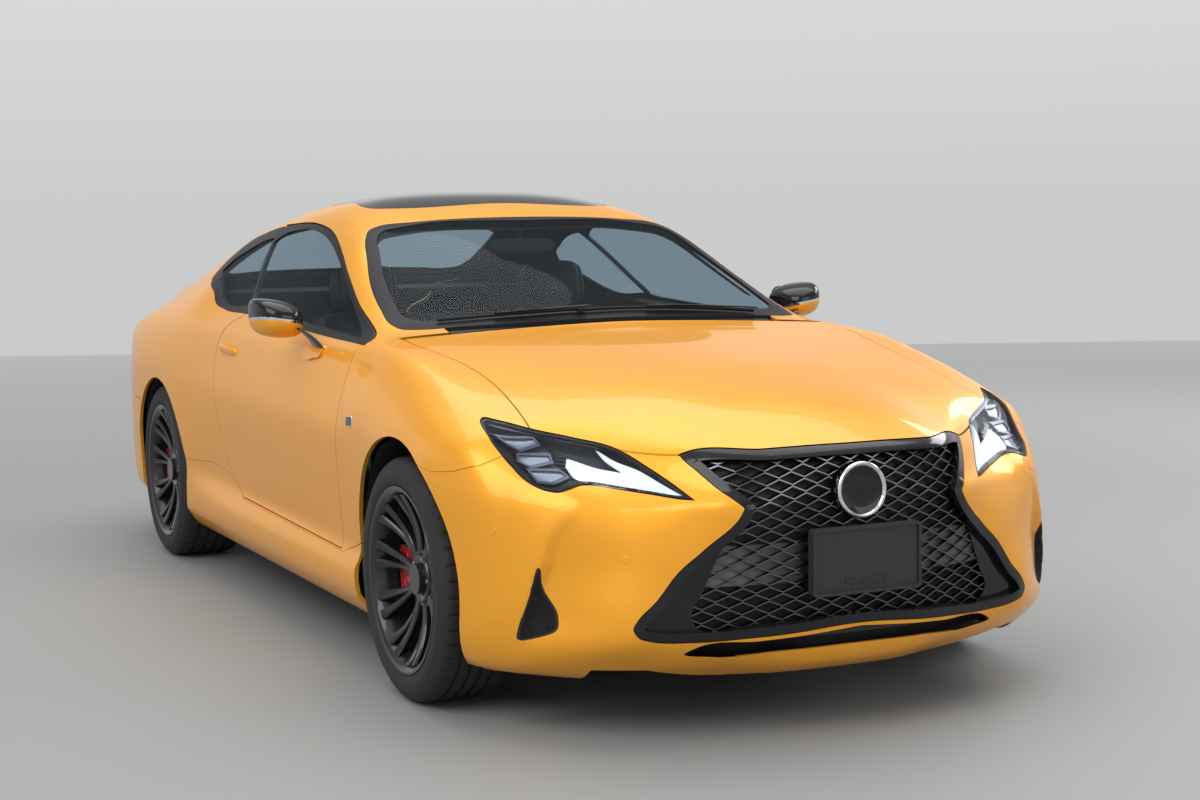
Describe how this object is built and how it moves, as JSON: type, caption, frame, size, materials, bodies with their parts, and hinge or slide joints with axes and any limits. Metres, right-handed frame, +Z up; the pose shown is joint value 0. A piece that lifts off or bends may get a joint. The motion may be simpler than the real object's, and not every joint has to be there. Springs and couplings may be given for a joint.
{
  "type": "two-door coupe car",
  "caption": "Low two-door coupe with opening doors, bonnet and boot, steered front wheels and a full cabin.",
  "frame": {"origin": "on the ground under the middle of the car's length and width", "axes": "+X to the car's left, -Y to its front, +Z up"},
  "size_m": [2.026, 4.695, 1.391],
  "materials": {
    "orange_paint": "pearl clear coat",
    "black_trim": "gloss",
    "dark_plastic": "fine grain",
    "window_glass": "tinted",
    "headlamp": "clear",
    "tail_lamp": "red",
    "black_rim": "satin",
    "tyre": "matt",
    "steel": "plain",
    "cast_metal": "rough",
    "aluminium": "satin",
    "seat_leather": "fine grain",
    "cabin_trim": "soft grain"
  },
  "bodies": {
    "car_body": {"body_shell": "orange_paint", "centre_console": "cabin_trim", "cowl_panel": "dark_plastic", "dashboard": "cabin_trim", "door_hinges": "steel", "engine": "aluminium", "exhaust": "steel", "firewall": "dark_plastic", "fixed_windows": "window_glass", "floor_pan": "dark_plastic", "front_axle": "cast_metal", "front_bumper": "orange_paint", "front_frame": "steel", "front_seats": "seat_leather", "front_wings": "orange_paint", "grille": "black_trim", "headlamps": "headlamp", "inside_mirror": "dark_plastic", "number_plate_holder": "black_trim", "parcel_shelf": "cabin_trim", "rear_axle": "cast_metal", "rear_bumper": "orange_paint", "rear_seat": "seat_leather", "roof_panel": "orange_paint", "side_skirts": "orange_paint", "steering_column": "cabin_trim", "tail_lamps": "tail_lamp", "wheel_liners": "dark_plastic"},
    "bonnet": {"bonnet": "orange_paint"},
    "boot_lid": {"boot_lid": "orange_paint"},
    "door_left": {"door_left": "orange_paint", "door_glass_left": "window_glass", "door_mirror_left": "orange_paint"},
    "door_right": {"door_right": "orange_paint", "door_glass_right": "window_glass", "door_mirror_right": "orange_paint"},
    "steering_wheel": {"steering_wheel": "seat_leather"},
    "knuckle_left": {"front_knuckle_left": "cast_metal"},
    "knuckle_right": {"front_knuckle_right": "cast_metal"},
    "wheel_front_left": {"front_rim_left": "black_rim", "front_tyre_left": "tyre"},
    "wheel_front_right": {"front_rim_right": "black_rim", "front_tyre_right": "tyre"},
    "wheel_rear_left": {"rear_rim_left": "black_rim", "rear_tyre_left": "tyre"},
    "wheel_rear_right": {"rear_rim_right": "black_rim", "rear_tyre_right": "tyre"}
  },
  "joints": [
    {"name": "bonnet_hinge", "type": "hinge", "parent": "car_body", "child": "bonnet", "pos_m": [0, -0.958, 0.945], "axis": [-1, 0, 0], "range_deg": [0, 55]},
    {"name": "boot_hinge", "type": "hinge", "parent": "car_body", "child": "boot_lid", "pos_m": [0, 1.56, 0.985], "axis": [1, 0, 0], "range_deg": [0, 70]},
    {"name": "door_left_hinge", "type": "hinge", "parent": "car_body", "child": "door_left", "pos_m": [0.884, -0.788, 0.5], "axis": [0, 0, -1], "range_deg": [0, 65]},
    {"name": "door_right_hinge", "type": "hinge", "parent": "car_body", "child": "door_right", "pos_m": [-0.884, -0.788, 0.5], "axis": [0, 0, 1], "range_deg": [0, 65]},
    {"name": "steer_left", "type": "hinge", "parent": "car_body", "child": "knuckle_left", "pos_m": [0.755, -1.4225, 0.334], "axis": [0, 0, 1], "range_deg": [-35, 35]},
    {"name": "steer_right", "type": "hinge", "parent": "car_body", "child": "knuckle_right", "pos_m": [-0.755, -1.4225, 0.334], "axis": [0, 0, 1], "range_deg": [-35, 35]},
    {"name": "steering_wheel_turn", "type": "hinge", "parent": "car_body", "child": "steering_wheel", "pos_m": [0.37, -0.43, 0.8], "axis": [0, 0.9135, 0.4067], "range_deg": [-450, 450]},
    {"name": "front_left_spin", "type": "hinge", "parent": "knuckle_left", "child": "wheel_front_left", "pos_m": [0.79, -1.4225, 0.334], "axis": [1, 0, 0], "continuous": true},
    {"name": "front_right_spin", "type": "hinge", "parent": "knuckle_right", "child": "wheel_front_right", "pos_m": [-0.79, -1.4225, 0.334], "axis": [1, 0, 0], "continuous": true},
    {"name": "rear_left_spin", "type": "hinge", "parent": "car_body", "child": "wheel_rear_left", "pos_m": [0.78, 1.3075, 0.334], "axis": [1, 0, 0], "continuous": true},
    {"name": "rear_right_spin", "type": "hinge", "parent": "car_body", "child": "wheel_rear_right", "pos_m": [-0.78, 1.3075, 0.334], "axis": [1, 0, 0], "continuous": true}
  ],
  "couplings": [
    {"joint": "steer_right", "follows": "steer_left", "ratio": 1},
    {"joint": "steering_wheel_turn", "follows": "steer_left", "ratio": 12.3}
  ]
}
